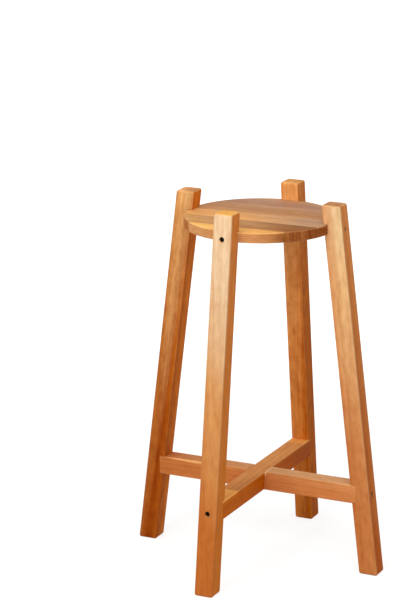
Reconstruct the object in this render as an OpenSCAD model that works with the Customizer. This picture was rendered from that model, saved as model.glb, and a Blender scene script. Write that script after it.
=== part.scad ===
// Plant stand: four splayed square legs, a round glued-up shelf and a half-lapped cross brace.
// The origin is on the floor at the centre of the stand. The legs stand on the X and Y axes:
// front is -Y, right is +X, back is +Y and left is -X.
// Shelf and rails are housed in the legs, and each of these joints is drawn up by one bolt.

/* [Stand] */
// Height from the floor to the leg tops
stand_h = 630; // [560:5:700]
// How far the leg tops rise above the shelf
leg_rise = 32; // [20:1:45]

/* [Legs] */
// Side of the square leg stock
leg_w = 32; // [27:1:36]
// Lean of each leg away from upright, in degrees
leg_splay = 6.9; // [4:0.1:9]
// Radius of the eased long edges
leg_arris = 2; // [1:0.5:4]
// Chamfer round the leg tops and the feet
end_chamfer = 2.4; // [0.6:0.2:3]

/* [Shelf] */
// Diameter of the round shelf
shelf_d = 256; // [244:2:290]
// Thickness of the shelf
shelf_t = 18; // [14:1:20]
// Radius of the eased rim, top and bottom
shelf_arris = 2.5; // [1:0.5:5]
// Depth of the front stave, from its seam to the rim
front_stave = 33; // [26:1:44]
// Depth of the back stave, from its seam to the rim
back_stave = 19; // [17:1:36]

/* [Cross brace] */
// Height of the rails' top face above the floor
rail_top = 155; // [110:1:200]
// Height of the rail stock
rail_h = 32; // [24:1:36]
// Radius of the eased rail edges
rail_arris = 2; // [1:0.5:4]

/* [Joints] */
// Depth of the housings, measured at the middle of each joint
housing_depth = 7.5; // [4:0.5:9]
// Play above the shelf and the rails in their housings, and round the shelf's rim
housing_gap = 0.2; // [0.1:0.05:0.4]
// Play on each side of the half lap
lap_gap = 0.1; // [0.05:0.05:0.3]

/* [Bolts] */
// Shank diameter
bolt_d = 5; // [4:0.5:6]
// Length under the head
bolt_l = 25; // [22:1:30]
// Head diameter
head_d = 8.5; // [7.5:0.5:10]
// Head height
head_h = 5; // [4:0.5:6]
// Width of the hexagon socket across its flats
socket_af = 4; // [3:0.5:5]
// Depth of the hexagon socket
socket_depth = 2.6; // [2:0.2:3.4]
// Chamfer of the head's rim and of the shank's tip
bolt_chamfer = 0.5; // [0.3:0.1:0.8]
// Depth of the counterbore in the leg's outer face
counterbore_depth = 8; // [6.5:0.5:10]
// Radial play of the head in its counterbore
head_gap = 0.25; // [0.15:0.05:0.5]
// Radial play of the shank in the wood
shank_gap = 0.25; // [0.15:0.05:0.5]

/* [Threaded inserts] */
// Diameter over the outer thread
insert_d = 9; // [8:0.5:10]
// Depth of the outer thread
insert_thread = 0.7; // [0.4:0.1:0.9]
// Number of thread turns drawn as rings
insert_turns = 4; // [3:1:5]
// Length of an insert
insert_l = 12; // [10:1:14]
// How far an insert's mouth lies below the wood's face
insert_sink = 0.4; // [0.3:0.1:0.8]
// Radial play between insert and wood, and between insert and bolt
insert_gap = 0.05; // [0.03:0.01:0.1]
// Free hole past the tip of a bolt
tip_room = 1.5; // [1:0.5:3]

/* [Hidden] */
$fn = 64;
shelf_r = shelf_d / 2;
shelf_top = stand_h - leg_rise;
shelf_bottom = shelf_top - shelf_t;
shelf_mid = shelf_top - shelf_t / 2;
rail_bottom = rail_top - rail_h;
rail_mid = rail_top - rail_h / 2;
rail_w = leg_w;
lap_z = rail_mid;

// A leg's inner face is this far from the centre line at height z, and its outer face so much more
lean = tan(leg_splay);
leg_across = leg_w / cos(leg_splay);
function inner_face(z) = shelf_r - housing_depth + (shelf_mid - z) * lean;
function outer_face(z) = inner_face(z) + leg_across;
rail_reach = inner_face(rail_mid) + housing_depth;

// The front and back staves keep their depth, and the full staves between them share the rest
full_staves = 4;
full_stave = (shelf_d - front_stave - back_stave) / full_staves;
SEAMS = [for (k = [0 : full_staves]) front_stave - shelf_r + k * full_stave];
EDGES = concat([-shelf_r], SEAMS, [shelf_r]);

// Turn of each leg about the centre line
RIGHT = 0;
BACK = 90;
LEFT = 180;
FRONT = 270;

// A rectangle with rounded corners, centred
module eased_rectangle(across, high, r) {
    square([across - 2 * r, high], center = true);
    square([across, high - 2 * r], center = true);
    for (x = [-1, 1], y = [-1, 1])
        translate([x * (across / 2 - r), y * (high / 2 - r)])
            circle(r = r);
}

// A box given by its low and high corners
module block(low, high) {
    translate(low)
        cube(high - low);
}

// Leg seen from the side: a leaning strip with horizontal ends and chamfered corners
module leg_side_outline() {
    c = end_chamfer;
    polygon([
        [inner_face(0) + c, 0],
        [outer_face(0) - c, 0],
        [outer_face(c), c],
        [outer_face(stand_h - c), stand_h - c],
        [outer_face(stand_h) - c, stand_h],
        [inner_face(stand_h) + c, stand_h],
        [inner_face(stand_h - c), stand_h - c],
        [inner_face(c), c]
    ]);
}

// Leg seen from outside: an upright strip with chamfered corners
module leg_front_outline() {
    c = end_chamfer;
    h = leg_w / 2;
    polygon([
        [-h + c, 0], [h - c, 0], [h, c], [h, stand_h - c],
        [h - c, stand_h], [-h + c, stand_h], [-h, stand_h - c], [-h, c]
    ]);
}

// Leaning square stock with eased long edges, cut to the two outlines
module leg_blank() {
    spare = 2 * leg_w;
    intersection() {
        translate([inner_face(0), 0, 0])
            rotate([0, -leg_splay, 0])
                translate([leg_w / 2, 0, -spare])
                    linear_extrude(stand_h / cos(leg_splay) + 2 * spare)
                        eased_rectangle(leg_w, leg_w, leg_arris);
        translate([0, leg_w / 2, 0])
            rotate([90, 0, 0])
                linear_extrude(leg_w)
                    leg_side_outline();
        rotate([90, 0, 90])
            linear_extrude(outer_face(0) + spare)
                leg_front_outline();
    }
}

// Room that the shelf's rim takes in a leg
module shelf_housing() {
    translate([0, 0, shelf_bottom])
        cylinder(r = shelf_r + housing_gap, h = shelf_t + housing_gap, $fn = 180);
}

// Room that a rail's end takes in a leg
module rail_housing() {
    block([0, -leg_w, rail_bottom], [rail_reach, leg_w, rail_top + housing_gap]);
}

// A round hole along X at height z, from low to high
module cross_hole(r, z, low, high) {
    translate([low, 0, z])
        rotate([0, 90, 0])
            cylinder(r = r, h = high - low);
}

// Place of a bolt head's underside in a leg
function head_seat(z) = outer_face(z) - counterbore_depth;

// Counterbore and clearance hole for a bolt at height z
module leg_bolt_hole(z) {
    cross_hole(head_d / 2 + head_gap, z, head_seat(z), outer_face(z) + leg_w);
    cross_hole(bolt_d / 2 + shank_gap, z, inner_face(z) - leg_w, head_seat(z) + insert_sink);
}

module leg() {
    difference() {
        leg_blank();
        shelf_housing();
        rail_housing();
        leg_bolt_hole(shelf_mid);
        leg_bolt_hole(rail_mid);
    }
}

// Hole for an insert in the wood's face at x = face, with free room for the bolt's tip
module insert_hole(face, z) {
    cross_hole(insert_d / 2 + insert_gap, z, face - insert_sink - insert_l, face + leg_w);
    cross_hole(bolt_d / 2 + shank_gap, z, head_seat(z) - bolt_l - tip_room, face);
}

// The round panel before it is divided into its staves
module shelf_blank() {
    translate([0, 0, shelf_bottom])
        rotate_extrude($fn = 180) {
            square([shelf_r - shelf_arris, shelf_t]);
            translate([0, shelf_arris])
                square([shelf_r, shelf_t - 2 * shelf_arris]);
            for (z = [shelf_arris, shelf_t - shelf_arris])
                translate([shelf_r - shelf_arris, z])
                    intersection() {
                        circle(r = shelf_arris);
                        translate([0, -shelf_arris])
                            square(2 * shelf_arris);
                    }
        }
}

// One stave of the panel, counted from the front, cut to the round outline
module shelf_stave(k) {
    difference() {
        intersection() {
            shelf_blank();
            block([-shelf_d, EDGES[k - 1], 0], [shelf_d, EDGES[k], stand_h]);
        }
        for (turn = [RIGHT, BACK, LEFT, FRONT])
            rotate(turn)
                insert_hole(shelf_r, shelf_mid);
    }
}

// A rail along X, housed at both ends, before its lap is cut
module rail_blank() {
    difference() {
        translate([-rail_reach, 0, rail_mid])
            rotate([90, 0, 90])
                linear_extrude(2 * rail_reach)
                    eased_rectangle(rail_w, rail_h, rail_arris);
        for (turn = [RIGHT, LEFT])
            rotate(turn)
                insert_hole(rail_reach, rail_mid);
    }
}

// Room for the crossing rail, over or under the lap face
module lap_notch(low, high) {
    half = rail_w / 2 + lap_gap;
    block([-half, -rail_w, low], [half, rail_w, high]);
}

// A bolt at height z in the leg on +X: a cap head with a hexagon socket, and a plain shank
module bolt(z) {
    c = bolt_chamfer;
    translate([head_seat(z), 0, z])
        rotate([0, 90, 0])
            difference() {
                rotate_extrude()
                    polygon([
                        [0, -bolt_l], [bolt_d / 2 - c, -bolt_l], [bolt_d / 2, c - bolt_l], [bolt_d / 2, 0],
                        [head_d / 2, 0], [head_d / 2, head_h - c], [head_d / 2 - c, head_h], [0, head_h]
                    ]);
                translate([0, 0, head_h - socket_depth])
                    cylinder(d = socket_af / cos(30), h = head_h, $fn = 6);
            }
}

// An insert in the wood's face at x = face, its outer thread drawn as rings
module insert(face, z) {
    pitch = insert_l / insert_turns;
    root = insert_d / 2 - insert_thread;
    flat = pitch / 6;
    translate([face - insert_sink - insert_l, 0, z])
        rotate([0, 90, 0])
            difference() {
                union() {
                    cylinder(r = root, h = insert_l);
                    for (k = [0 : insert_turns - 1])
                        translate([0, 0, (k + 0.5) * pitch])
                            rotate_extrude()
                                polygon([
                                    [0, -flat - insert_thread], [root, -flat - insert_thread],
                                    [insert_d / 2, -flat], [insert_d / 2, flat],
                                    [root, flat + insert_thread], [0, flat + insert_thread]
                                ]);
                }
                translate([0, 0, -insert_l])
                    cylinder(r = bolt_d / 2 + insert_gap, h = 3 * insert_l);
            }
}

module leg_front() { color("#d9a066") rotate(FRONT) leg(); }
module leg_right() { color("#cf9055") rotate(RIGHT) leg(); }
module leg_back() { color("#a8622f") rotate(BACK) leg(); }
module leg_left() { color("#b9703a") rotate(LEFT) leg(); }

module shelf_stave_1() { color("#d99b55") shelf_stave(1); }
module shelf_stave_2() { color("#a87348") shelf_stave(2); }
module shelf_stave_3() { color("#d08c4a") shelf_stave(3); }
module shelf_stave_4() { color("#b98560") shelf_stave(4); }
module shelf_stave_5() { color("#a9765a") shelf_stave(5); }
module shelf_stave_6() { color("#c08a58") shelf_stave(6); }

module cross_rail_left_right() {
    color("#b96f38")
        difference() {
            rail_blank();
            lap_notch(lap_z, rail_top + rail_h);
        }
}

module cross_rail_front_back() {
    color("#c8884a")
        rotate(BACK)
            difference() {
                rail_blank();
                lap_notch(rail_bottom - rail_h, lap_z);
            }
}

module shelf_bolt_front() { color("#1c1b1a") rotate(FRONT) bolt(shelf_mid); }
module shelf_bolt_right() { color("#1c1b1a") rotate(RIGHT) bolt(shelf_mid); }
module shelf_bolt_back() { color("#1c1b1a") rotate(BACK) bolt(shelf_mid); }
module shelf_bolt_left() { color("#1c1b1a") rotate(LEFT) bolt(shelf_mid); }
module rail_bolt_front() { color("#1c1b1a") rotate(FRONT) bolt(rail_mid); }
module rail_bolt_right() { color("#1c1b1a") rotate(RIGHT) bolt(rail_mid); }
module rail_bolt_back() { color("#1c1b1a") rotate(BACK) bolt(rail_mid); }
module rail_bolt_left() { color("#1c1b1a") rotate(LEFT) bolt(rail_mid); }

module shelf_insert_front() { color("#c9b26a") rotate(FRONT) insert(shelf_r, shelf_mid); }
module shelf_insert_right() { color("#c9b26a") rotate(RIGHT) insert(shelf_r, shelf_mid); }
module shelf_insert_back() { color("#c9b26a") rotate(BACK) insert(shelf_r, shelf_mid); }
module shelf_insert_left() { color("#c9b26a") rotate(LEFT) insert(shelf_r, shelf_mid); }
module rail_insert_front() { color("#c9b26a") rotate(FRONT) insert(rail_reach, rail_mid); }
module rail_insert_right() { color("#c9b26a") rotate(RIGHT) insert(rail_reach, rail_mid); }
module rail_insert_back() { color("#c9b26a") rotate(BACK) insert(rail_reach, rail_mid); }
module rail_insert_left() { color("#c9b26a") rotate(LEFT) insert(rail_reach, rail_mid); }

leg_front();
leg_right();
leg_back();
leg_left();
shelf_stave_1();
shelf_stave_2();
shelf_stave_3();
shelf_stave_4();
shelf_stave_5();
shelf_stave_6();
cross_rail_left_right();
cross_rail_front_back();
shelf_bolt_front();
shelf_bolt_right();
shelf_bolt_back();
shelf_bolt_left();
rail_bolt_front();
rail_bolt_right();
rail_bolt_back();
rail_bolt_left();
shelf_insert_front();
shelf_insert_right();
shelf_insert_back();
shelf_insert_left();
rail_insert_front();
rail_insert_right();
rail_insert_back();
rail_insert_left();
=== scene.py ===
# Looks of the plant stand: oiled wood, black bolts, brass inserts and a soft white studio
import math
import bmesh
import bpy
from mathutils import Matrix, Vector


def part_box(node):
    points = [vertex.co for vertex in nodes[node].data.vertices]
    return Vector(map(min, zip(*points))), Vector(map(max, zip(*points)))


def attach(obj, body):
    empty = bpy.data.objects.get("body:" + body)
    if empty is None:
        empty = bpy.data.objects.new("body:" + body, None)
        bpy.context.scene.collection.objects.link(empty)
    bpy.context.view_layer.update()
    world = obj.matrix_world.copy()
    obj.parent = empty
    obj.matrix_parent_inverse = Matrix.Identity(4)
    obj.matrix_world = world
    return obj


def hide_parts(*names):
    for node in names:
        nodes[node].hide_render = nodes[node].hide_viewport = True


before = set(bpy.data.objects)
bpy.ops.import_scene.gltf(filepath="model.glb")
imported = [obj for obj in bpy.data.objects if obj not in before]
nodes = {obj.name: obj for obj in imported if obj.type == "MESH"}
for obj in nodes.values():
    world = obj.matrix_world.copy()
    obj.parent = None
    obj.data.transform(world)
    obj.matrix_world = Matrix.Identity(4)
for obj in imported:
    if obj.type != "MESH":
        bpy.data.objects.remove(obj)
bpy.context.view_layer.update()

scene = bpy.context.scene
millimetre = 0.001
print("frame loaded:", len(nodes), "nodes")


# sRGB hex to the linear colour that Blender works in
def linear(hexText):
    parts = [int(hexText[k:k + 2], 16) / 255 for k in (0, 2, 4)]
    return [p / 12.92 if p <= 0.04045 else ((p + 0.055) / 1.055) ** 2.4 for p in parts] + [1.0]


# adds one node: settings are node options or input values, links are input: output it is fed by
def addNode(tree, kind, settings=None, links=None):
    node = tree.nodes.new("ShaderNode" + kind)
    for name, value in (settings or {}).items():
        if isinstance(name, str) and hasattr(node, name):
            setattr(node, name, value)
        else:
            node.inputs[name].default_value = value
    for name, source in (links or {}).items():
        tree.links.new(source, node.inputs[name])
    return node


# the node tree of a material or a world, emptied
def emptyTree(owner):
    owner.use_nodes = True
    owner.node_tree.nodes.clear()
    return owner.node_tree


# sets the stops of a ramp, each a place and either a colour or one value for a grey
def setRamp(ramp, stops, easing="LINEAR"):
    ramp.color_ramp.interpolation = easing
    points = ramp.color_ramp.elements
    while len(points) < len(stops):
        points.new(0.5)
    for point, (place, colour) in zip(points, stops):
        point.position = place
        point.color = [colour] * 3 + [1.0] if isinstance(colour, float) else colour


# a node's lowest and highest corners, to a hundredth of a millimetre
def nodeBox(name):
    return [[round(value, 5) for value in corner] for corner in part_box(name)]


# applies what modifiers a piece has, and leaves it as plain mesh
def applyModifiers(piece):
    graph = bpy.context.evaluated_depsgraph_get()
    finished = bpy.data.meshes.new_from_object(piece.evaluated_get(graph), depsgraph=graph)
    piece.modifiers.clear()
    piece.data = finished


# makes an object of a finished bmesh
def makePiece(mesh, name):
    bmesh.ops.recalc_face_normals(mesh, faces=mesh.faces)
    data = bpy.data.meshes.new(name)
    mesh.to_mesh(data)
    mesh.free()
    piece = bpy.data.objects.new(name, data)
    scene.collection.objects.link(piece)
    return piece


# smooth over the eased edges, crisp at the cut ones
def smoothEdges(piece, sharpest=36):
    for face in piece.data.polygons:
        face.use_smooth = True
    piece.data.set_sharp_from_angle(angle=math.radians(sharpest))
    weighted = piece.modifiers.new("weightedNormals", "WEIGHTED_NORMAL")
    weighted.keep_sharp = True
    applyModifiers(piece)


# merges doubled points and drops faces too thin to see
def cleanMesh(mesh, smallest=1e-6):
    bmesh.ops.remove_doubles(mesh, verts=mesh.verts, dist=smallest)
    bmesh.ops.dissolve_degenerate(mesh, edges=mesh.edges, dist=smallest)


# takes the cutters' shapes out of a piece
def cutAway(piece, cutters):
    for cutter in cutters:
        cut = piece.modifiers.new("cut", "BOOLEAN")
        cut.operation, cut.solver, cut.object = "DIFFERENCE", "EXACT", cutter
    applyModifiers(piece)
    for cutter in cutters:
        bpy.data.objects.remove(cutter)
    mesh = bmesh.new()
    mesh.from_mesh(piece.data)
    cleanMesh(mesh)
    mesh.to_mesh(piece.data)
    mesh.free()


# a box between two corners
def makeBlock(low, high):
    mesh = bmesh.new()
    bmesh.ops.create_cube(mesh, size=1)
    low, high = Vector(low), Vector(high)
    bmesh.ops.scale(mesh, verts=mesh.verts, vec=high - low)
    bmesh.ops.translate(mesh, verts=mesh.verts, vec=(low + high) / 2)
    return mesh


# a round bar between two points of its axis, or a cone where the end has a radius of its own
def makeRound(start, end, radius, endRadius=None, segments=64):
    start, end = Vector(start), Vector(end)
    mesh = bmesh.new()
    bmesh.ops.create_cone(
        mesh, cap_ends=True, segments=segments, radius1=radius,
        radius2=radius if endRadius is None else endRadius, depth=(end - start).length,
    )
    bmesh.ops.rotate(mesh, verts=mesh.verts, matrix=(end - start).to_track_quat("Z", "Y").to_matrix())
    bmesh.ops.translate(mesh, verts=mesh.verts, vec=(start + end) / 2)
    return mesh


# rounds edges of a bmesh
def easeEdges(mesh, edges, radius, segments):
    bmesh.ops.bevel(
        mesh, geom=list(edges), offset=radius, offset_type="OFFSET", segments=segments, profile=0.5,
        affect="EDGES", material=-1, clamp_overlap=True,
    )


# hangs a finished piece on the stand in place of its node
def mount(piece, nodeName, material):
    piece.data.materials.clear()
    piece.data.materials.append(material)
    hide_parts(nodeName)
    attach(piece, "root")


# gives a node that keeps its own shape a better material
def dress(nodeName, material):
    for place in nodes[nodeName].material_slots:
        place.material = material


# Oiled hardwood under a thin satin varnish: long soft grain in honey to orange brown, short dark
# pores, darker and duller end grain, and eased edges painted a little paler, partly as wear and partly as a
# painted highlight.
# All lengths in it are millimetres, in the board's own directions: x to its side, y out of its
# face and z along the grain. What is called a share is how much of something is there, 0 to 1.
wood = {
    "seedShift": (37, 91, 530),             # each board is cut from another place in the patterns
    "wander": 5.0,                          # how much the rings drift sideways
    "goodYears": 11, "yearsDiffer": 3.0,    # how far apart wide years come, and by how many rings
    "palestYear": 0.35,                     # the faintest ring, as a share of the darkest
    "ring": [(0.0, 0.7), (0.05, 0.0), (0.45, 0.16), (0.78, 0.62), (0.94, 1.0), (1.0, 0.7)],
    "ringMean": 0.24,                       # the average ring, so that rings don't darken a board
    "poreSize": 1.5, "poreLength": 9, "poreRim": (0.06, 0.18), "poreShow": 0.35, "poreTint": "b98a62",
    "grainTint": (0.45, 0.75, 1.0),         # the grain takes most blue and least red away
    "darkest": (0.3, 0.25, 0.2),            # and leaves at least this much of the colour
    "endTurn": (0.45, 0.72),                # how squarely a surface looks along the grain where end
                                            # grain begins, and where there is nothing else
    "endRings": 0.4,                        # and is deeper in the rings
    "squareTurn": (0.985, 0.86),            # how squarely it looks to a side where an arris begins to be painted pale as wear and painted highlight, and where it is palest
                                            # be rubbed, and where it is rubbed most
    "roundTurn": [(0.1, 0.0), (0.4, 1.0), (0.85, 1.0), (0.985, 0.0)],   # the same for a round edge
    "patchFrom": 0.3, "patchTo": 0.6, "patchLeast": 0.4,    # the streaks leave the pale edges patchy
    "wearAndHighlightLeast": 0.12,                       # what is left of it away from wearAndHighlightTo
    "nearLegLeast": 0.25, "nearLegEase": 9,     # and past wearAndHighlightEnd, and how gently that comes
    "roughness": 0.52, "ringShine": 0.07, "endDull": 0.16, "fibreDull": 0.10,
    "shine": 0.04, "shineTint": "ffe6cc",
    "relief": 0.00010, "reliefStrength": 0.45, "ringRelief": 0.6, "poreRelief": 0.9,    # relief in metres
}
# The figures of the grain: millimetres across, how many times longer they are along the grain,
# and how broken up. Real fibres are finer, and are drawn as coarse as they need to show.
woodFigures = {
    "wander": {"across": 60, "drawnOut": 3.5, "detail": 2.0, "broken": 0.45},
    "tone": {"across": 80, "drawnOut": 2.5, "detail": 2.0, "broken": 0.5},
    "fibre": {"across": 1.1, "drawnOut": 45, "detail": 2.0, "broken": 0.55},
    "floss": {"across": 0.35, "drawnOut": 30, "detail": 1.0, "broken": 0.5},    # for a close look
    "streak": {"across": 7, "drawnOut": 28, "detail": 3.0, "broken": 0.6},
    "mottle": {"across": 9, "drawnOut": 2.4, "detail": 2.0, "broken": 0.6},     # short and cloudy
}
# What a board's own dictionary says, next to how much of each figure shows:
# heart and tilt, where the tree's heart lies and how many degrees it leans from the board
# pale, middle and deep, its colours, and fade, how fast they deepen for each millimetre each way
# layer..., another colour that begins at layerFrom and is all there at layerTo, along layerSide: another
# wood, and on some boards painted light and shade as well, as their entries say
# tip..., painted light: a brighter golden colour of that layer past tipFrom to tipTo on both sides of
# tipCentre
# end..., the end grain's colours, and how they deepen
# wearAndHighlight..., the pale edges, partly wear and partly painted highlight, which grow stronger from
# wearAndHighlightFrom to wearAndHighlightTo along wearAndHighlightWay, up to wearAndHighlightEnd
# wearAndHighlightSide..., an edge painted pale, as wear and a painted highlight line, from
# wearAndHighlightSideFrom to wearAndHighlightSideTo along wearAndHighlightSide
# lap..., a sharp edge of the half lap, painted pale as wear and a painted highlight within lapTo of
# lapCentre, and untouched past lapFrom
plainBoard = {"fade": (0, 0, 0), "layerFade": (0, 0, 0), "endFade": (0, 0, 0), "wearAndHighlightColour": "f2c48c"}


# the board's own directions: to its side, out of its face and along the grain
def boardWays(board):
    grain = Vector(board["along"]).normalized()
    face = (Vector(board["facing"]) - Vector(board["facing"]).dot(grain) * grain).normalized()
    return face.cross(grain), face, grain


# where a point lies in its board, and how squarely its surface looks each way
def findPlace(tree, board, maps):
    place = addNode(tree, "TexCoord")
    maps["local"] = addNode(tree, "Mapping", {
        "vector_type": "TEXTURE", "Location": board["centre"],
        "Rotation": Matrix(boardWays(board)).transposed().to_euler(), "Scale": (millimetre,) * 3,
    }, {"Vector": place.outputs["Object"]}).outputs[0]
    for name in ("fade", "layerSide", "layerFade", "tipWay", "endFade", "wearAndHighlightSide", "wearAndHighlightWay"):
        if name in board:
            maps[name] = addNode(tree, "VectorMath", {
                "operation": "DOT_PRODUCT", 1: board[name],
            }, {0: maps["local"]}).outputs["Value"]
    for name, way in zip(("toSide", "toFace", "toEnd"), boardWays(board)):
        turned = addNode(tree, "VectorMath", {
            "operation": "DOT_PRODUCT", 1: way,
        }, {0: place.outputs["Normal"]})
        maps[name] = addNode(tree, "Math", {"operation": "ABSOLUTE"}, {0: turned.outputs["Value"]}).outputs[0]


# one figure of the grain: noise drawn out along it, from this board's own place in the pattern
def addFigure(tree, board, source, figure):
    stretched = addNode(tree, "Mapping", {
        "Location": Vector(wood["seedShift"]) * board["seed"], "Scale": (1, 1, 1 / figure["drawnOut"]),
    }, {"Vector": source})
    return addNode(tree, "TexNoise", {
        "Scale": 1 / figure["across"], "Detail": figure["detail"], "Roughness": figure["broken"],
    }, {"Vector": stretched.outputs[0]})


# growth rings round the tree's heart, which lies outside the board, from early wood to late wood
def findRings(tree, board, maps):
    wander = addFigure(tree, board, maps["local"], woodFigures["wander"])
    drift = addNode(tree, "VectorMath", {
        "operation": "MULTIPLY_ADD", 1: (2 * wood["wander"],) * 3, 2: (-wood["wander"],) * 3,
    }, {0: wander.outputs["Color"]})
    maps["bent"] = addNode(tree, "VectorMath", {
        "operation": "ADD",
    }, {0: maps["local"], 1: drift.outputs[0]}).outputs[0]
    heart = addNode(tree, "Mapping", {
        "vector_type": "TEXTURE", "Location": (*board["heart"], 0),
        "Rotation": [math.radians(turn) for turn in (*board["tilt"], 0)],
    }, {"Vector": maps["bent"]})
    flat = addNode(tree, "VectorMath", {"operation": "MULTIPLY", 1: (1, 1, 0)}, {0: heart.outputs[0]})
    radius = addNode(tree, "VectorMath", {"operation": "LENGTH"}, {0: flat.outputs[0]}).outputs["Value"]
    uneven = addNode(tree, "TexNoise", {
        "noise_dimensions": "1D", "Scale": 1 / wood["goodYears"], "Detail": 1.0,
    }, {"W": radius})
    count = addNode(tree, "Math", {"operation": "MULTIPLY", 1: 1 / board["ringGap"]}, {0: radius})
    count = addNode(tree, "Math", {
        "operation": "MULTIPLY_ADD", 1: wood["yearsDiffer"],
    }, {0: uneven.outputs[0], 2: count.outputs[0]}).outputs[0]
    phase = addNode(tree, "Math", {"operation": "FRACT"}, {0: count})
    ring = addNode(tree, "ValToRGB", {}, {0: phase.outputs[0]})
    setRamp(ring, wood["ring"])
    year = addNode(tree, "Math", {"operation": "FLOOR"}, {0: count})
    force = addNode(tree, "TexWhiteNoise", {"noise_dimensions": "1D"}, {"W": year.outputs[0]})
    force = addNode(tree, "MapRange", {
        "To Min": wood["palestYear"], "To Max": 1.0,
    }, {"Value": force.outputs["Value"]})
    maps["rings"] = addNode(tree, "Math", {
        "operation": "MULTIPLY",
    }, {0: ring.outputs[0], 1: force.outputs[0]}).outputs[0]


# fibres, streaks and clouds that bend with the rings, the slow change of tone, and the pores
def findFigures(tree, board, maps):
    maps["tone"] = addFigure(tree, board, maps["local"], woodFigures["tone"]).outputs[0]
    for name in ("fibre", "floss", "streak", "mottle"):
        maps[name] = addFigure(tree, board, maps["bent"], woodFigures[name]).outputs[0]
    stretched = addNode(tree, "Mapping", {
        "Location": Vector(wood["seedShift"]) * board["seed"], "Scale": (1, 1, 1 / wood["poreLength"]),
    }, {"Vector": maps["bent"]})
    cells = addNode(tree, "TexVoronoi", {
        "Scale": 1 / wood["poreSize"], "Randomness": 1.0,
    }, {"Vector": stretched.outputs[0]})
    maps["pores"] = addNode(tree, "MapRange", {
        "interpolation_type": "SMOOTHSTEP", "From Min": wood["poreRim"][0], "From Max": wood["poreRim"][1],
        "To Min": wood["poreShow"], "To Max": 0.0,
    }, {"Value": cells.outputs["Distance"]}).outputs[0]


# the colour before the grain: it changes slowly of itself, and with the place in the board
def baseColour(tree, board, maps):
    depth = addNode(tree, "Math", {
        "operation": "MULTIPLY_ADD", 1: 2 * board["toneShow"], 2: 0.5 - board["toneShow"],
    }, {0: maps["tone"]})
    maps["depth"] = addNode(tree, "Math", {
        "operation": "ADD",
    }, {0: depth.outputs[0], 1: maps["fade"]}).outputs[0]
    ramp = addNode(tree, "ValToRGB", {}, {0: maps["depth"]})
    setRamp(ramp, [
        (0.1, linear(board["pale"])), (0.5, linear(board["middle"])), (0.9, linear(board["deep"])),
    ])
    return ramp.outputs[0]


# a slanting layer of the tree's other wood, heart or sap, with a ragged edge; on some boards it also carries
# painted light and shade
def layerColour(tree, board, maps, colour):
    ragged = board["layerRagged"]
    reach = addNode(tree, "Math", {
        "operation": "MULTIPLY_ADD", 1: ragged,
    }, {0: maps["streak"], 2: maps["layerSide"]})
    share = addNode(tree, "MapRange", {
        "From Min": board["layerFrom"] + ragged / 2, "From Max": board["layerTo"] + ragged / 2,
    }, {"Value": reach.outputs[0]})
    depth = addNode(tree, "Math", {"operation": "ADD"}, {0: maps["depth"], 1: maps["layerFade"]})
    ramp = addNode(tree, "ValToRGB", {}, {0: depth.outputs[0]})
    setRamp(ramp, [(0.1, linear(board["layerPale"])), (0.9, linear(board["layerDeep"]))])
    other = ramp.outputs[0]
    if "tipWay" in board:
        other = tipPaintedLightColour(tree, board, maps, other)
    return addNode(tree, "Mix", {"data_type": "RGBA"}, {0: share.outputs[0], 6: colour, 7: other}).outputs[2]


# painted light: the layer turns a brighter golden towards both ends
def tipPaintedLightColour(tree, board, maps, colour):
    ragged = board["tipRagged"]
    reach = addNode(tree, "Math", {"operation": "SUBTRACT", 1: board["tipCentre"]}, {0: maps["tipWay"]})
    reach = addNode(tree, "Math", {"operation": "ABSOLUTE"}, {0: reach.outputs[0]})
    reach = addNode(tree, "Math", {
        "operation": "MULTIPLY_ADD", 1: ragged,
    }, {0: maps["streak"], 2: reach.outputs[0]})
    share = addNode(tree, "MapRange", {
        "interpolation_type": "SMOOTHSTEP",
        "From Min": board["tipFrom"] + ragged / 2, "From Max": board["tipTo"] + ragged / 2,
    }, {"Value": reach.outputs[0]})
    return addNode(tree, "Mix", {
        "data_type": "RGBA", 7: linear(board["tipPaintedLightColour"]),
    }, {0: share.outputs[0], 6: colour}).outputs[2]


# what the grain leaves of the colour, least of the blue, so that dark lines are the warmer ones
def grainGain(tree, board, maps):
    grain = addNode(tree, "Math", {
        "operation": "MULTIPLY_ADD", 1: board["ringShow"], 2: -wood["ringMean"] * board["ringShow"],
    }, {0: maps["rings"]}).outputs[0]
    for name in ("floss", "fibre", "streak", "mottle"):
        show = board[name + "Show"]
        centred = addNode(tree, "Math", {
            "operation": "MULTIPLY_ADD", 1: 2 * show, 2: -show,
        }, {0: maps[name]})
        grain = addNode(tree, "Math", {"operation": "ADD"}, {0: grain, 1: centred.outputs[0]}).outputs[0]
    taken = [-board["grainShow"] * tint for tint in wood["grainTint"]]
    gain = addNode(tree, "VectorMath", {"operation": "MULTIPLY_ADD", 1: taken, 2: (1, 1, 1)}, {0: grain})
    return addNode(tree, "VectorMath", {
        "operation": "MAXIMUM", 1: wood["darkest"],
    }, {0: gain.outputs[0]}).outputs[0]


# end grain drinks the oil, so it has its own colour and shows its rings
def endColour(tree, board, maps, colour):
    maps["ends"] = addNode(tree, "MapRange", {
        "interpolation_type": "SMOOTHSTEP", "From Min": wood["endTurn"][0], "From Max": wood["endTurn"][1],
    }, {"Value": maps["toEnd"]}).outputs[0]
    depth = addNode(tree, "Math", {"operation": "ADD"}, {0: maps["depth"], 1: maps["endFade"]})
    depth = addNode(tree, "Math", {
        "operation": "MULTIPLY_ADD", 1: wood["endRings"],
    }, {0: maps["rings"], 2: depth.outputs[0]})
    ramp = addNode(tree, "ValToRGB", {}, {0: depth.outputs[0]})
    setRamp(ramp, [(0.1, linear(board["endPale"])), (0.9, linear(board["endDeep"]))])
    return addNode(tree, "Mix", {
        "data_type": "RGBA",
    }, {0: maps["ends"], 6: colour, 7: ramp.outputs[0]}).outputs[2]
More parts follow.
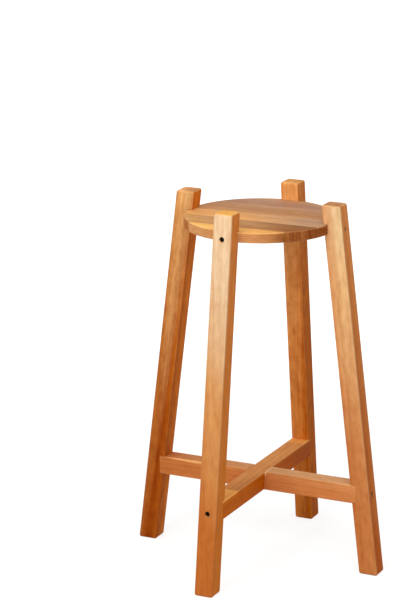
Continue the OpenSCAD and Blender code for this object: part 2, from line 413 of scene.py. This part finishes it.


# how pale the edges are painted, partly as wear and partly as painted highlight: most where an eased edge
# turns from one face to the next
def findWearAndHighlight(tree, board, maps):
    if board["edges"] == "square":
        flattest = addNode(tree, "Math", {"operation": "MAXIMUM"}, {0: maps["toEnd"], 1: maps["toFace"]})
        flattest = addNode(tree, "Math", {
            "operation": "MAXIMUM",
        }, {0: flattest.outputs[0], 1: maps["toSide"]})
        wearAndHighlight = addNode(tree, "MapRange", {
            "interpolation_type": "SMOOTHSTEP",
            "From Min": wood["squareTurn"][0], "From Max": wood["squareTurn"][1],
        }, {"Value": flattest.outputs[0]}).outputs[0]
    else:
        turning = addNode(tree, "ValToRGB", {}, {0: maps["toFace"]})
        setRamp(turning, wood["roundTurn"], "EASE")
        wearAndHighlight = turning.outputs[0]
    if "wearAndHighlightSide" in board:  # painted pale some way onto both faces of one edge, as wear and a painted highlight line
        sideWearAndHighlight = addNode(tree, "MapRange", {
            "interpolation_type": "SMOOTHSTEP", "From Min": board["wearAndHighlightSideFrom"], "From Max": board["wearAndHighlightSideTo"],
        }, {"Value": maps["wearAndHighlightSide"]})
        wearAndHighlight = addNode(tree, "Math", {"operation": "MAXIMUM"}, {0: wearAndHighlight, 1: sideWearAndHighlight.outputs[0]}).outputs[0]
    shares = [addNode(tree, "MapRange", {
        "From Min": wood["patchFrom"], "From Max": wood["patchTo"],
        "To Min": wood["patchLeast"] * board["wearAndHighlightShow"], "To Max": board["wearAndHighlightShow"],
    }, {"Value": maps["streak"]})]
    if "wearAndHighlightWay" in board:  # paler towards one end, as wear and painted highlight
        shares.append(addNode(tree, "MapRange", {
            "From Min": board["wearAndHighlightFrom"], "From Max": board["wearAndHighlightTo"],
            "To Min": wood["wearAndHighlightLeast"], "To Max": 1.0,
        }, {"Value": maps["wearAndHighlightWay"]}))
    if "wearAndHighlightEnd" in board:  # but less at the very end, next to the leg
        ease = wood["nearLegEase"]
        shares.append(addNode(tree, "MapRange", {
            "From Min": board["wearAndHighlightEnd"] + ease, "From Max": board["wearAndHighlightEnd"] - ease,
            "To Min": wood["nearLegLeast"], "To Max": 1.0,
        }, {"Value": maps["wearAndHighlightWay"]}))
    for share in shares:
        wearAndHighlight = addNode(tree, "Math", {"operation": "MULTIPLY"}, {0: wearAndHighlight, 1: share.outputs[0]}).outputs[0]
    return wearAndHighlight


# the sharp edge on one side of the half lap is painted pale, as wear and a painted highlight
def lapWearAndHighlightColour(tree, board, maps, colour):
    across = addNode(tree, "VectorMath", {"operation": "MULTIPLY", 1: (0, 1, 1)}, {0: maps["local"]})
    away = addNode(tree, "VectorMath", {
        "operation": "DISTANCE", 1: board["lapCentre"],
    }, {0: across.outputs[0]})
    share = addNode(tree, "MapRange", {
        "interpolation_type": "SMOOTHSTEP", "From Min": board["lapFrom"], "From Max": board["lapTo"],
    }, {"Value": away.outputs["Value"]})
    return addNode(tree, "Mix", {
        "data_type": "RGBA", 7: linear(board["lapWearAndHighlightColour"]),
    }, {0: share.outputs[0], 6: colour}).outputs[2]


# the colour of the board, from its base to its pale edges of wear and painted highlight
def woodColour(tree, board, maps):
    colour = baseColour(tree, board, maps)
    if "layerSide" in board:
        colour = layerColour(tree, board, maps, colour)
    # pores hold more oil
    colour = addNode(tree, "Mix", {
        "data_type": "RGBA", "blend_type": "MULTIPLY", 7: linear(wood["poreTint"]),
    }, {0: maps["pores"], 6: colour}).outputs[2]
    colour = endColour(tree, board, maps, colour)
    gain = grainGain(tree, board, maps)
    colour = addNode(tree, "VectorMath", {"operation": "MULTIPLY"}, {0: colour, 1: gain}).outputs[0]
    if "lapCentre" in board:
        colour = lapWearAndHighlightColour(tree, board, maps, colour)
    return addNode(tree, "Mix", {
        "data_type": "RGBA", 7: linear(board["wearAndHighlightColour"]),
    }, {0: findWearAndHighlight(tree, board, maps), 6: colour}).outputs[2]


# gloss: the late wood is closer and shines more, the end grain and the fibres less
def woodGloss(tree, maps):
    gloss = addNode(tree, "Math", {
        "operation": "MULTIPLY_ADD", 1: -wood["ringShine"], 2: wood["roughness"],
    }, {0: maps["rings"]})
    gloss = addNode(tree, "Math", {
        "operation": "MULTIPLY_ADD", 1: wood["endDull"],
    }, {0: maps["ends"], 2: gloss.outputs[0]})
    return addNode(tree, "Math", {
        "operation": "MULTIPLY_ADD", 1: wood["fibreDull"],
    }, {0: maps["fibre"], 2: gloss.outputs[0]}).outputs[0]


# relief: fibres and rings stand a little, pores sink
def woodRelief(tree, maps):
    height = addNode(tree, "Math", {
        "operation": "MULTIPLY_ADD", 1: wood["ringRelief"],
    }, {0: maps["rings"], 2: maps["fibre"]})
    height = addNode(tree, "Math", {
        "operation": "MULTIPLY_ADD", 1: -wood["poreRelief"],
    }, {0: maps["pores"], 2: height.outputs[0]})
    return addNode(tree, "Bump", {
        "Strength": wood["reliefStrength"], "Distance": wood["relief"],
    }, {"Height": height.outputs[0]}).outputs[0]


# the finish of one board
def makeWood(name, board):
    board = {**plainBoard, **board}
    material = bpy.data.materials.new(name)
    tree = emptyTree(material)
    maps = {}
    findPlace(tree, board, maps)
    findRings(tree, board, maps)
    findFigures(tree, board, maps)
    colour = woodColour(tree, board, maps)
    surface = addNode(tree, "BsdfPrincipled", {
        "IOR": 1.5, "Specular IOR Level": wood["shine"], "Specular Tint": linear(wood["shineTint"]),
    }, {"Base Color": colour, "Roughness": woodGloss(tree, maps), "Normal": woodRelief(tree, maps)})
    addNode(tree, "OutputMaterial", {}, {"Surface": surface.outputs[0]})
    return material


# Sizes that several pieces share, in metres, from the frame's shelf and rail
shelfLow, shelfHigh = nodeBox("shelf_stave_3")      # the widest stave, at the middle
railLow, railHigh = nodeBox("cross_rail_left_right")
shelfMiddle = (shelfLow[2] + shelfHigh[2]) / 2
railMiddle = (railLow[2] + railHigh[2]) / 2

# The four legs: leaning square stock, each from its own board
legShape = {
    "splay": 6.9, "side": 0.032, "tall": nodeBox("leg_front")[1][2], "rawLength": 0.8,
    "arris": 0.0020, "endArris": 0.0038,     # radius of the eased long edges and of the eased ends
    "arrisSegments": 4,
}
# What is cut into each leg: housings for the shelf's rim and the rail's end, and two bolt holes
jointShape = {
    "depth": 0.0075, "play": 0.0002,         # depth of the housings, and their play round the shelf and rail
    "headRadius": 0.0045, "shankRadius": 0.00275, "headDepth": 0.008, "rimEase": 0.0005,
    "meet": 0.0004,                          # how far the shank's hole runs into the head's
    "past": 0.02, "conePast": 0.002,         # how far cutters run past the wood, and the cone at the rim
    "shelfSegments": 360,
}
legWood = {
    "ringShow": 0.34, "fibreShow": 0.36, "flossShow": 0.18, "streakShow": 0.32, "mottleShow": 0.6,
    "toneShow": 0.2, "edges": "square",
}
# painted light and shade in part: on each leg the faces towards the front lamps keep the pale base and the
# other faces take the deeper layer, and fade makes each leg paler towards its top, partly a painted gradient
# of light and sheen
legBoards = {
    "leg_front": {
        "yaw": 180, "seed": 1, "heart": (-9, 44), "tilt": (2.2, 0.5), "ringGap": 5.0, "grainShow": 0.55,
        "pale": "dcbc96", "middle": "ce8e53", "deep": "be6b2e", "fade": (0.0035, 0.0008, -0.002),
        "layerSide": (0, -1, 0.004), "layerFrom": -15.2, "layerTo": -9.6, "layerRagged": 4,
        "layerPale": "cf7d3a", "layerDeep": "ca7324",
        "endPale": "e4a654", "endDeep": "c08438",
        "wearAndHighlightShow": 0.3, "wearAndHighlightWay": (0, 0, 1), "wearAndHighlightFrom": -200, "wearAndHighlightTo": 250,
    },
    "leg_right": {
        "yaw": 270, "seed": 2, "heart": (70, 20), "tilt": (0.3, 0.5), "ringGap": 6.0, "grainShow": 0.75,
        "pale": "ddd2b0", "middle": "e2b680", "deep": "c77b44", "fade": (0.015, 0.0017, -0.0011),
        "layerSide": (-1, -0.13, 0.003), "layerFrom": -16.3, "layerTo": -11.6, "layerRagged": 1.5,
        "layerPale": "db8b4b", "layerDeep": "b35308",
        "endPale": "bc8458", "endDeep": "94643a",
        "wearAndHighlightShow": 0.4, "wearAndHighlightWay": (0, 0, 1), "wearAndHighlightFrom": -300, "wearAndHighlightTo": 50,
    },
    "leg_back": {
        "yaw": 0, "seed": 3, "heart": (24, -38), "tilt": (1.8, -0.6), "ringGap": 5.5, "grainShow": 1.1,
        "pale": "e49f5e", "middle": "d27b31", "deep": "98500f", "fade": (0.004, 0.0085, -0.0005),
        "layerSide": (1, -0.03, -0.012), "layerFrom": 9.9, "layerTo": 16.1, "layerRagged": 3.4,
        "layerPale": "d06c10", "layerDeep": "b65c0a",
        "endPale": "e0a060", "endDeep": "b87434", "wearAndHighlightShow": 0.2,
    },
    "leg_left": {
        "yaw": 90, "seed": 4, "heart": (-60, -26), "tilt": (0.5, 0.4), "ringGap": 5.0, "grainShow": 1.1,
        "pale": "c89e68", "middle": "e0a466", "deep": "bb6f30", "fade": (-0.009, 0.024, -0.0009),
        "layerSide": (1, -0.43, -0.019), "layerFrom": -20.7, "layerTo": -11.5, "layerRagged": 3.5,
        "layerPale": "d87a22", "layerDeep": "9c450a", "layerFade": (-0.016, 0, 0.0005),
        "endPale": "e0a06c", "endDeep": "a66c3c", "endFade": (0, -0.045, 0),
        "wearAndHighlightShow": 0.3, "wearAndHighlightWay": (0, 0, 1), "wearAndHighlightFrom": -200, "wearAndHighlightTo": 250,
    },
}
lean = math.radians(legShape["splay"])
legAcross = legShape["side"] / math.cos(lean)       # a leg's thickness, measured level
legMiddle = legShape["tall"] / 2


# how far a leg's inner face is from the centre line at a height
def innerFace(height):
    return shelfHigh[0] - jointShape["depth"] + (shelfMiddle - height) * math.tan(lean)


legReach = innerFace(legMiddle) + legAcross / 2     # how far out a leg's middle is
railReach = innerFace(railMiddle) + jointShape["depth"]


# the leaning stock of the leg on the right, cut level at both ends, with its edges marked for easing
def makeLegStock():
    half, rawHalf = legShape["side"] / 2, legShape["rawLength"] / 2
    mesh = makeBlock((-half, -half, -rawHalf), (half, half, rawHalf))
    bmesh.ops.rotate(mesh, verts=mesh.verts, matrix=Matrix.Rotation(-lean, 3, "Y"))
    bmesh.ops.translate(mesh, verts=mesh.verts, vec=(legReach, 0, legMiddle))
    for level, way in ((0.0, -1), (legShape["tall"], 1)):
        cut = bmesh.ops.bisect_plane(
            mesh, geom=mesh.verts[:] + mesh.edges[:] + mesh.faces[:],
            plane_co=(0, 0, level), plane_no=(0, 0, way), clear_outer=True,
        )
        rim = [item for item in cut["geom_cut"] if isinstance(item, bmesh.types.BMEdge)]
        bmesh.ops.holes_fill(mesh, edges=rim)
    weight = mesh.edges.layers.float.new("bevel_weight_edge")
    for edge in mesh.edges:
        rise = abs(edge.verts[0].co.z - edge.verts[1].co.z)
        edge[weight] = legShape["arris"] / legShape["endArris"] if rise > half else 1.0
    return mesh


# what is cut out of the leg on the right
def legCutters():
    play, past, head = jointShape["play"], jointShape["past"], jointShape["headRadius"]
    side = railHigh[1] + past
    shelfTop, railTop = shelfHigh[2] + play, railHigh[2] + play
    shelfSpace = makeRound(
        (0, 0, shelfLow[2]), (0, 0, shelfTop), shelfHigh[0] + play, segments=jointShape["shelfSegments"],
    )
    cutters = [shelfSpace, makeBlock((0, -side, railLow[2]), (railReach, side, railTop))]
    for height in (shelfMiddle, railMiddle):
        inner, outer = innerFace(height), innerFace(height) + legAcross
        seat = outer - jointShape["headDepth"]
        cutters.append(makeRound((seat, 0, height), (outer + past, 0, height), head))
        shankEnd = (seat + jointShape["meet"], 0, height)
        cutters.append(makeRound((inner - past, 0, height), shankEnd, jointShape["shankRadius"]))
        over = jointShape["conePast"]
        normal = Vector((math.cos(lean), 0, math.sin(lean))) * over
        rim, rimRadius = Vector((outer, 0, height)), head + jointShape["rimEase"]
        cutters.append(makeRound(rim - normal, rim + normal, rimRadius - over, rimRadius + over))
    return cutters


# a leg, eased and cut on the right and turned to its place
def makeLeg(name, yaw):
    turn = Matrix.Rotation(yaw, 3, "Z")
    mesh = makeLegStock()
    bmesh.ops.rotate(mesh, verts=mesh.verts, matrix=turn)
    leg = makePiece(mesh, name)
    ease = leg.modifiers.new("ease", "BEVEL")
    ease.limit_method, ease.width, ease.profile = "WEIGHT", legShape["endArris"], 0.5
    ease.segments = legShape["arrisSegments"]
    applyModifiers(leg)
    cutters = legCutters()
    for cutter in cutters:
        bmesh.ops.rotate(cutter, verts=cutter.verts, matrix=turn)
    cutAway(leg, [makePiece(cutter, f"cutter{k}") for k, cutter in enumerate(cutters)])
    smoothEdges(leg)
    return leg


for name, board in legBoards.items():
    yaw = math.radians(board["yaw"])
    out = Vector((-math.sin(yaw), math.cos(yaw), 0))
    board = {
        **legWood, **board, "facing": out,
        "centre": out * round(legReach, 4) + Vector((0, 0, legMiddle)),
        "along": -out * math.sin(lean) + Vector((0, 0, math.cos(lean))),
    }
    leg = makeLeg(name.split("_")[1] + "Leg", yaw + math.pi / 2)
    mount(leg, name, makeWood("oiledHardwood_" + name, board))
print("legs finished")

# The round shelf: six staves glued edge to edge, grain from left to right
staveWood = {
    "along": (1, 0, 0), "facing": (0, 0, 1), "edges": "round", "wearAndHighlightShow": 0.35,
    "ringShow": 0.38, "fibreShow": 0.36, "flossShow": 0.18, "streakShow": 0.38, "mottleShow": 0.2,
    "toneShow": 0.30, "grainShow": 1.3,
}
staveBoards = {
    # painted highlight in part: the golden top layer lights the top and the rim's upper edge; fade darkens
    # the stave to the right, partly a painted shadow of a pot on the shelf
    "shelf_stave_1": {
        "seed": 11, "heart": (3, -48), "tilt": (1.4, 0.6), "ringGap": 4.0,
        "pale": "d8a068", "middle": "c88c58", "deep": "a26636", "fade": (0, 0, 0.0024),
        "layerSide": (0, 1, 0), "layerFrom": 6.0, "layerTo": 8.6, "layerRagged": 1,
        "layerPale": "fcc470", "layerDeep": "d08c42",
        "endPale": "d69a64", "endDeep": "8e5226", "endFade": (0, 0, 0.005),
    },
    # darker to the right through fade and layer, partly its own wood and partly a painted shadow of a pot on
    # the shelf
    "shelf_stave_2": {
        "seed": 12, "heart": (85, 4), "tilt": (0.5, 1.0), "ringGap": 5.0, "wearAndHighlightShow": 0.12,
        "pale": "d8a468", "middle": "bc8450", "deep": "844a1c", "fade": (0, 0, 0.0026),
        "layerSide": (0, 0, 1), "layerFrom": 10, "layerTo": 90, "layerRagged": 24,
        "layerPale": "b07844", "layerDeep": "88501f",
        "endPale": "d38246", "endDeep": "7e3f18", "endFade": (0, 0, -0.001),
    },
    # greyer and darker to the right through the layer, partly its own wood and partly a painted shadow of a
    # pot on the shelf
    "shelf_stave_3": {
        "seed": 13, "heart": (-20, -45), "tilt": (0.4, 0.8), "ringGap": 5.5,
        "pale": "f0b070", "middle": "dc9e60", "deep": "b07238",
        "layerSide": (0, 0, 1), "layerFrom": -20, "layerTo": 85, "layerRagged": 30,
        "layerPale": "c89c7a", "layerDeep": "987252",
        "endPale": "c8885a", "endDeep": "8a4a1c", "endFade": (0, 0, 0.002),
    },
    "shelf_stave_4": {
        "seed": 14, "heart": (60, 12), "tilt": (0.3, 0.4), "ringGap": 4.5,
        "pale": "cc9c76", "middle": "b8845a", "deep": "90603c", "endPale": "b87848", "endDeep": "7c4820",
    },
    "shelf_stave_5": {
        "seed": 15, "heart": (-30, 40), "tilt": (0.5, 0.6), "ringGap": 5.0,
        "pale": "c89c80", "middle": "b08264", "deep": "885c44", "endPale": "b07450", "endDeep": "744428",
    },
    "shelf_stave_6": {
        "seed": 16, "heart": (50, -20), "tilt": (0.4, 0.7), "ringGap": 4.5,
        "pale": "d8ac84", "middle": "c09064", "deep": "98683e", "endPale": "bc8050", "endDeep": "845024",
    },
}
for k, (name, board) in enumerate(staveBoards.items()):
    low, high = nodeBox(name)
    board = {**staveWood, **board, "centre": (Vector(low) + Vector(high)) / 2}
    mesh = bmesh.new()
    mesh.from_mesh(nodes[name].data)
    cleanMesh(mesh)
    stave = makePiece(mesh, f"shelfStave{k + 1}")
    smoothEdges(stave)
    mount(stave, name, makeWood("oiledHardwood_" + name, board))
print("shelf finished")

# The cross brace: two rails half lapped at their middles
railWood = {
    "facing": (0, 0, 1), "edges": "square", "centre": (0, 0, railMiddle),
    "fibreShow": 0.32, "flossShow": 0.16, "streakShow": 0.32, "mottleShow": 0.2, "toneShow": 0.28,
    "grainShow": 1.3,
}
railBoards = {
    "cross_rail_left_right": {
        "along": (1, 0, 0), "seed": 21, "heart": (-34, 30), "tilt": (0.6, 1.0),
        "ringGap": 5.0, "ringShow": 0.2,
        "pale": "d48e58", "middle": "cc7a42", "deep": "b4642c", "fade": (0, -0.002, -0.0006),
        "layerSide": (0, 1, 0.0042), "layerFrom": 15.25, "layerTo": 16.05, "layerRagged": 0.55,
        "layerPale": "e8b482", "layerDeep": "d08c56",
        "endPale": "f6c090", "endDeep": "e0a070",
        "wearAndHighlightShow": 0.95, "wearAndHighlightColour": "ffc07c",
        "wearAndHighlightWay": (0, 0, -1), "wearAndHighlightFrom": 80, "wearAndHighlightTo": 115, "wearAndHighlightEnd": 160,
        # the front top edge is painted pale: a painted highlight line along the arris, with wear
        "wearAndHighlightSide": (-1, 1, 0.04), "wearAndHighlightSideFrom": 22.6, "wearAndHighlightSideTo": 25.1,
        # a pale line along the lap's edge: painted highlight and wear
        "lapCentre": (0, 16, 9.7), "lapFrom": 10.6, "lapTo": 9.2, "lapWearAndHighlightColour": "fcca98",
    },
    "cross_rail_front_back": {
        "along": (0, 1, 0), "seed": 22, "heart": (60, 24), "tilt": (0.3, 0.4),
        "ringGap": 5.5, "ringShow": 0.34,
        "pale": "cc7014", "middle": "bc5c0a", "deep": "9c480a", "fade": (0, 0, 0.0007),
        # the paler top layer is partly another wood and partly a painted sheen on the top face
        "layerSide": (0, 1, 0), "layerFrom": 12, "layerTo": 15.3, "layerRagged": 2,
        "layerPale": "eaa25c", "layerDeep": "c67c40", "layerFade": (0, 0, -0.0032),
        # painted light: the top turns brighter and golden near both legs
        "tipWay": (0, 0, 1), "tipCentre": 14, "tipFrom": 130, "tipTo": 144, "tipRagged": 24,
        "tipPaintedLightColour": "ffb45c", "endPale": "c88a54", "endDeep": "8e5020", "wearAndHighlightShow": 0.22,
    },
}
railShape = {
    "arris": 0.002, "arrisSegments": 4, "lapHalf": 0.0161, "shoulderEase": 0.0018, "shoulderSegments": 2,
    "insertRadius": 0.00455, "insertDepth": 0.0124,     # hole for the insert, which the bolt's tip ends in
}


# a rail along X with its lap open at the top (way 1) or at the bottom (way -1), turned to its place
def makeRail(name, way, yaw):
    half, lap, past = railHigh[1], railShape["lapHalf"], jointShape["past"]
    mesh = makeBlock((-railReach, -half, railLow[2]), (railReach, half, railHigh[2]))
    long = [edge for edge in mesh.edges if abs(edge.verts[0].co.x - edge.verts[1].co.x) > railReach]
    easeEdges(mesh, long, railShape["arris"], railShape["arrisSegments"])
    rail = makePiece(mesh, name)
    low, high = (railMiddle, railHigh[2] + past) if way > 0 else (railLow[2] - past, railMiddle)
    cutters = [makeBlock((-lap, -half - past, low), (lap, half + past, high))]
    for end in (-1, 1):
        bottom = (end * (railReach - railShape["insertDepth"]), 0, railMiddle)
        mouth = (end * (railReach + past), 0, railMiddle)
        cutters.append(makeRound(bottom, mouth, railShape["insertRadius"]))
    cutAway(rail, [makePiece(cutter, f"cutter{k}") for k, cutter in enumerate(cutters)])
    mesh = bmesh.new()
    mesh.from_mesh(rail.data)
    near = 1e-5
    shoulders = [
        edge for edge in mesh.edges
        if all(abs(abs(corner.co.x) - lap) < near for corner in edge.verts)
        and all((corner.co.z - railMiddle) * way > near for corner in edge.verts)
    ]
    easeEdges(mesh, shoulders, railShape["shoulderEase"], railShape["shoulderSegments"])
    bmesh.ops.rotate(mesh, verts=mesh.verts, matrix=Matrix.Rotation(yaw, 3, "Z"))
    mesh.to_mesh(rail.data)
    mesh.free()
    smoothEdges(rail)
    return rail


rails = {
    "cross_rail_left_right": makeRail("leftRightRail", 1, 0),
    "cross_rail_front_back": makeRail("frontBackRail", -1, math.pi / 2),
}
for name, rail in rails.items():
    board = {**railWood, **railBoards[name]}
    mount(rail, name, makeWood("oiledHardwood_" + name, board))
print("cross brace finished")

# Cap bolts, steel with a black oxide skin: near black, with a dull sheen and fine forging grain
boltSteel = {"dark": "121111", "light": "2b2928", "grain": 0.5, "roughness": 0.42}
# Threaded inserts, turned brass: warm yellow, dulled in patches, with a fine grain from the tool
insertBrass = {"dark": "9c7c3c", "light": "c9a655", "grain": 0.4, "roughness": 0.30}
metalSkin = {
    "patchSize": 4.0, "patchFrom": 0.35, "patchTo": 0.75,   # millimetres, and where dark turns to light
    "smoother": 0.08, "rougher": 0.12, "relief": 0.00003, "reliefStrength": 0.3,
}


# the finish of the bolts or the inserts
def makeMetal(name, look):
    material = bpy.data.materials.new(name)
    tree = emptyTree(material)
    place = addNode(tree, "TexCoord").outputs["Object"]
    grain = addNode(tree, "TexNoise", {
        "Scale": 1 / (look["grain"] * millimetre), "Detail": 3.0, "Roughness": 0.6,
    }, {"Vector": place}).outputs[0]
    patch = addNode(tree, "TexNoise", {
        "Scale": 1 / (metalSkin["patchSize"] * millimetre), "Detail": 2.0,
    }, {"Vector": place})
    blend = addNode(tree, "MapRange", {
        "From Min": metalSkin["patchFrom"], "From Max": metalSkin["patchTo"],
    }, {"Value": patch.outputs[0]})
    colour = addNode(tree, "Mix", {
        "data_type": "RGBA", 6: linear(look["dark"]), 7: linear(look["light"]),
    }, {0: blend.outputs[0]})
    gloss = addNode(tree, "MapRange", {
        "To Min": look["roughness"] - metalSkin["smoother"],
        "To Max": look["roughness"] + metalSkin["rougher"],
    }, {"Value": grain})
    bump = addNode(tree, "Bump", {
        "Strength": metalSkin["reliefStrength"], "Distance": metalSkin["relief"],
    }, {"Height": grain})
    surface = addNode(tree, "BsdfPrincipled", {"Metallic": 1.0}, {
        "Base Color": colour.outputs[2], "Roughness": gloss.outputs[0], "Normal": bump.outputs[0],
    })
    addNode(tree, "OutputMaterial", {}, {"Surface": surface.outputs[0]})
    return material


blackOxide = makeMetal("blackOxideSteel", boltSteel)
turnedBrass = makeMetal("turnedBrass", insertBrass)
for level in ("shelf", "rail"):
    for side in ("front", "right", "back", "left"):
        dress(f"{level}_bolt_{side}", blackOxide)
        dress(f"{level}_insert_{side}", turnedBrass)
print("bolts and inserts finished")

# White floor that keeps a soft shadow, and a white world
studio = {
    "floorSize": 14.0, "floorColour": "e8e6e3", "shadowShare": "a0a0a0",
    "floorGlow": 0.79, "farGlow": 1.05, "glowFrom": 0.4, "glowTo": 1.4,     # whiter away from the stand
    "ambient": 0.36,
}
mesh = bmesh.new()
bmesh.ops.create_grid(mesh, x_segments=1, y_segments=1, size=studio["floorSize"] / 2)
floor = makePiece(mesh, "studioFloor")


# one for camera, glossy and transmission rays, nought for the rest
def seenRays(tree):
    path = addNode(tree, "LightPath")
    seen = addNode(tree, "Math", {
        "operation": "MAXIMUM",
    }, {0: path.outputs["Is Camera Ray"], 1: path.outputs["Is Glossy Ray"]})
    return addNode(tree, "Math", {
        "operation": "MAXIMUM",
    }, {0: seen.outputs[0], 1: path.outputs["Is Transmission Ray"]}).outputs[0]


# white painted studio floor: even and matt
paint = bpy.data.materials.new("whiteStudioFloor")
tree = emptyTree(paint)
bounce = addNode(tree, "BsdfDiffuse", {"Color": linear(studio["floorColour"])})
shade = addNode(tree, "BsdfDiffuse", {"Color": linear(studio["shadowShare"])})
place = addNode(tree, "TexCoord")
away = addNode(tree, "VectorMath", {"operation": "LENGTH"}, {0: place.outputs["Object"]})
glowing = addNode(tree, "MapRange", {
    "interpolation_type": "SMOOTHSTEP", "From Min": studio["glowFrom"], "From Max": studio["glowTo"],
    "To Min": studio["floorGlow"], "To Max": studio["farGlow"],
}, {"Value": away.outputs["Value"]})
glow = addNode(tree, "Emission", {"Color": (1, 1, 1, 1)}, {"Strength": glowing.outputs[0]})
white = addNode(tree, "AddShader", {}, {0: shade.outputs[0], 1: glow.outputs[0]})
mixed = addNode(tree, "MixShader", {}, {0: seenRays(tree), 1: bounce.outputs[0], 2: white.outputs[0]})
addNode(tree, "OutputMaterial", {}, {"Surface": mixed.outputs[0]})
floor.data.materials.append(paint)

scene.world = bpy.data.worlds.new("whiteStudio")
tree = emptyTree(scene.world)
strength = addNode(tree, "MapRange", {"To Min": studio["ambient"], "To Max": 1.0}, {"Value": seenRays(tree)})
sky = addNode(tree, "Background", {"Color": (1, 1, 1, 1)}, {"Strength": strength.outputs[0]})
addNode(tree, "OutputWorld", {}, {"Surface": sky.outputs[0]})

# Soft boxes: the key near at the front, a wide one far at the left, a weak one at the right, and a
# large one overhead, all aimed at one point on the stand's middle line
aim = (0, 0, 0.4)
softBoxes = {
    "keyBox": {"place": (-0.15, -1.15, 1.15), "size": 0.5, "power": 6.6, "colour": "fffaf2"},
    "leftBox": {"place": (-1.0, -2.2, 0.9), "size": 1.2, "power": 7.5, "colour": "ffffff"},
    "sideBox": {"place": (0.9, -0.8, 0.85), "size": 0.5, "power": 4.0, "colour": "ffffff"},
    "topBox": {"place": (0.0, -0.1, 2.0), "size": 1.6, "power": 12, "colour": "ffffff"},
}
for name, box in softBoxes.items():
    lamp = bpy.data.lights.new(name, "AREA")
    lamp.shape = "SQUARE"
    lamp.size = box["size"]
    lamp.energy = box["power"]
    lamp.color = linear(box["colour"])[:3]
    holder = bpy.data.objects.new(name, lamp)
    holder.location = box["place"]
    holder.rotation_euler = (Vector(aim) - Vector(box["place"])).to_track_quat("-Z", "Y").to_euler()
    scene.collection.objects.link(holder)
print("studio finished")

# Camera: fitted to the stand's edges, for a picture of 400 by 600
view = {
    "azimuth": 25.766, "elevation": 15.103, "roll": -0.124,
    "distance": 4.1792, "height": 0.45194, "aside": -0.10107,
    "lens": 149.67, "sensor": 36, "nearest": 0.1, "farthest": 60,
}
around, above, roll = [math.radians(view[angle]) for angle in ("azimuth", "elevation", "roll")]
back = Vector((math.sin(around) * math.cos(above), -math.cos(around) * math.cos(above), math.sin(above)))
right = Vector((math.cos(around), math.sin(around), 0))
up = back.cross(right)
rolledRight = right * math.cos(roll) + up * math.sin(roll)
rolledUp = up * math.cos(roll) - right * math.sin(roll)
lens = bpy.data.cameras.new("camera")
lens.lens = view["lens"]
lens.sensor_width = view["sensor"]
lens.sensor_fit = "AUTO"
lens.clip_start, lens.clip_end = view["nearest"], view["farthest"]
camera = bpy.data.objects.new("camera", lens)
camera.location = Vector((0, 0, view["height"])) + right * view["aside"] + back * view["distance"]
camera.rotation_euler = Matrix((rolledRight, rolledUp, back)).transposed().to_euler()
scene.collection.objects.link(camera)
scene.camera = camera
scene.view_settings.view_transform = "Standard"
print("camera placed")
